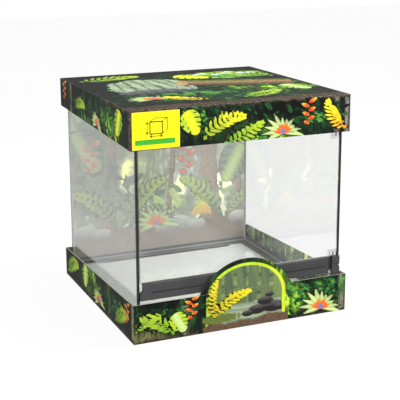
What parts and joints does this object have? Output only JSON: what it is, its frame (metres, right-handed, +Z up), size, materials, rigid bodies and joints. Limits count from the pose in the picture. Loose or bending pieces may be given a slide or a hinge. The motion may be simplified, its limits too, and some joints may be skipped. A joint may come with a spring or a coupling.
{
  "type": "reptile terrarium",
  "caption": "Front-opening glass terrarium with a vented strip, a side-hinged door, a lift-out cover and a drain, packed in a printed card tray and cap.",
  "frame": {"origin": "centre of the tray's underside", "axes": "+Z up, -Y out of the door, +X to the hinge side"},
  "size_m": [0.476, 0.4683, 0.464],
  "materials": {
    "printed_card": "satin printed paperboard",
    "header_card": "satin printed paperboard",
    "foam": "matte expanded foam",
    "glass": "clear polished float glass",
    "frame_plastic": "fine satin moulded plastic",
    "strip_plastic": "satin extruded plastic",
    "trim_plastic": "semi-gloss moulded plastic",
    "clear_plastic": "clear polycarbonate",
    "sealant": "black silicone",
    "clear_sealant": "grey silicone",
    "steel": "stainless steel",
    "mesh_steel": "woven stainless mesh",
    "cap_red": "soft red rubber",
    "yellow_label": "gloss printed film",
    "print_film": "matte printed card"
  },
  "bodies": {
    "tray": {"packaging_tray": "printed_card", "display_header": "header_card", "foam_pad": "foam"},
    "tank": {"bottom_frame": "frame_plastic", "base_glass": "glass", "left_glass": "glass", "right_glass": "glass", "rear_glass": "glass", "lower_front_glass": "glass", "front_edge_seals": "sealant", "rear_corner_seals": "sealant", "base_sealant": "clear_sealant", "vent_strip": "strip_plastic", "vent_mesh": "mesh_steel", "strip_end_stop": "strip_plastic", "lower_hinge_block": "strip_plastic", "upper_hinge_block": "strip_plastic", "hinge_screws": "steel", "lintel": "frame_plastic", "top_frame": "frame_plastic", "rear_print_card": "print_film", "drain_body": "trim_plastic", "drain_gasket": "sealant", "drain_nut": "trim_plastic", "drain_plug": "cap_red"},
    "door": {"door_glass": "glass", "lower_door_shoe": "clear_plastic", "upper_door_shoe": "clear_plastic", "hinge_pins": "steel", "door_pull": "trim_plastic"},
    "lock": {"lock_knob": "trim_plastic", "lock_clip": "steel"},
    "cover": {"cover_frame": "frame_plastic", "cover_glass": "glass", "cover_mesh": "mesh_steel"},
    "cap": {"packaging_cap": "printed_card", "cap_label": "yellow_label"},
    "latch_left": {"left_latch": "trim_plastic"},
    "latch_right": {"right_latch": "trim_plastic"},
    "inlet_left": {"left_inlet_slide": "trim_plastic"},
    "inlet_right": {"right_inlet_slide": "trim_plastic"},
    "grate": {"drain_grate": "trim_plastic"}
  },
  "joints": [
    {"name": "tank_lift", "type": "slide", "parent": "tray", "child": "tank", "axis": [0, 0, 1], "range_m": [0, 0.085]},
    {"name": "door_swing", "type": "hinge", "parent": "tank", "child": "door", "pos_m": [0.212, -0.223, 0.12], "axis": [0, 0, 1], "range_deg": [0, 110], "deforming": ["display_header"]},
    {"name": "lock_turn", "type": "hinge", "parent": "tank", "child": "lock", "pos_m": [0.01, -0.22915, 0.1095], "axis": [0, 1, 0], "range_deg": [0, 90]},
    {"name": "cover_lift", "type": "slide", "parent": "tank", "child": "cover", "axis": [0, 0, 1], "range_m": [0, 0.05]},
    {"name": "cap_lift", "type": "slide", "parent": "cover", "child": "cap", "axis": [0, 0, 1], "range_m": [0, 0.085]},
    {"name": "latch_left_slide", "type": "slide", "parent": "tank", "child": "latch_left", "axis": [1, 0, 0], "range_m": [0, 0.004]},
    {"name": "latch_right_slide", "type": "slide", "parent": "tank", "child": "latch_right", "axis": [-1, 0, 0], "range_m": [0, 0.004]},
    {"name": "inlet_left_slide", "type": "slide", "parent": "cover", "child": "inlet_left", "axis": [-1, 0, 0], "range_m": [0, 0.032]},
    {"name": "inlet_right_slide", "type": "slide", "parent": "cover", "child": "inlet_right", "axis": [1, 0, 0], "range_m": [0, 0.032]},
    {"name": "grate_lift", "type": "slide", "parent": "tank", "child": "grate", "axis": [0, 0, 1], "range_m": [0, 0.03]}
  ]
}
